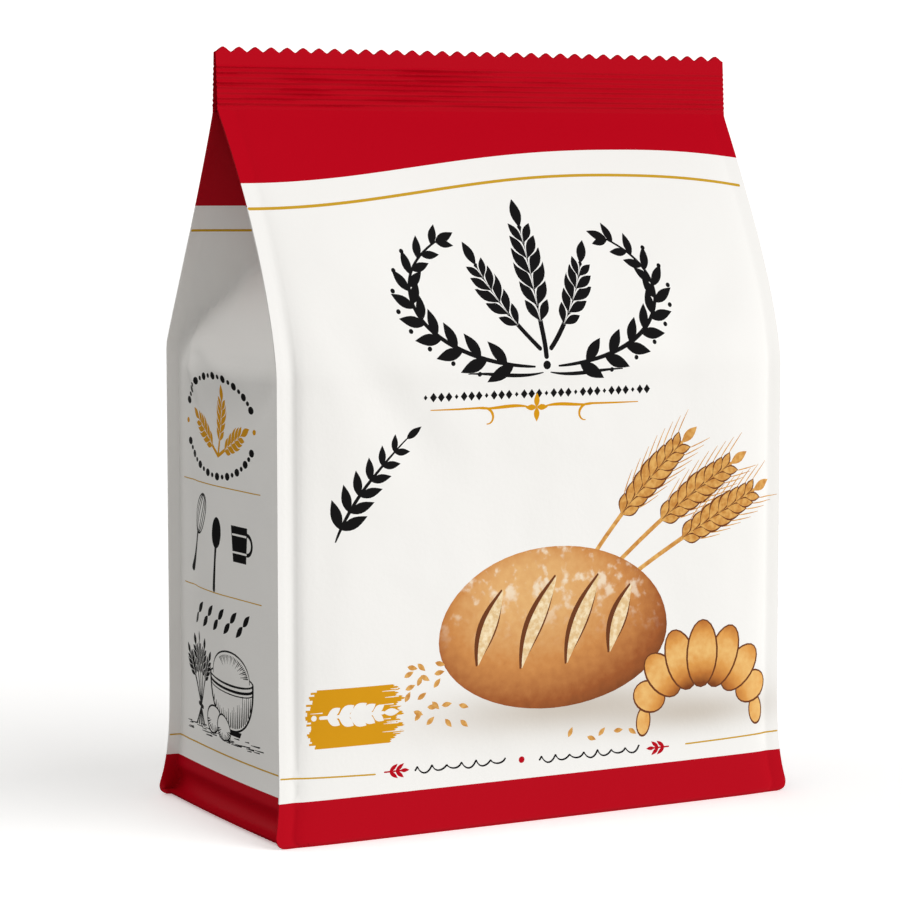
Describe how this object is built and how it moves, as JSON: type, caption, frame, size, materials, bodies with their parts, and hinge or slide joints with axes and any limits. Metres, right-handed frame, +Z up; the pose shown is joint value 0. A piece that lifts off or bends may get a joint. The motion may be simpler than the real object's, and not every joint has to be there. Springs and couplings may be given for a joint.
{
  "type": "bag of flour",
  "caption": "Shut film bag of flour with a flat base, welded corner strips, sides tucked in above the shoulder and a crimped, zigzag-cut top seal.",
  "frame": {"origin": "on the flat base, below the middle of the bag's bounding box", "axes": "+Z up, the front panel faces -Y, and +X is to the right as seen from the front"},
  "size_m": [0.1474, 0.0754, 0.1924],
  "materials": {
    "film": "satin printed film, white with red head and foot bands"
  },
  "bodies": {
    "root": {"flour_bag": "film"}
  },
  "joints": []
}
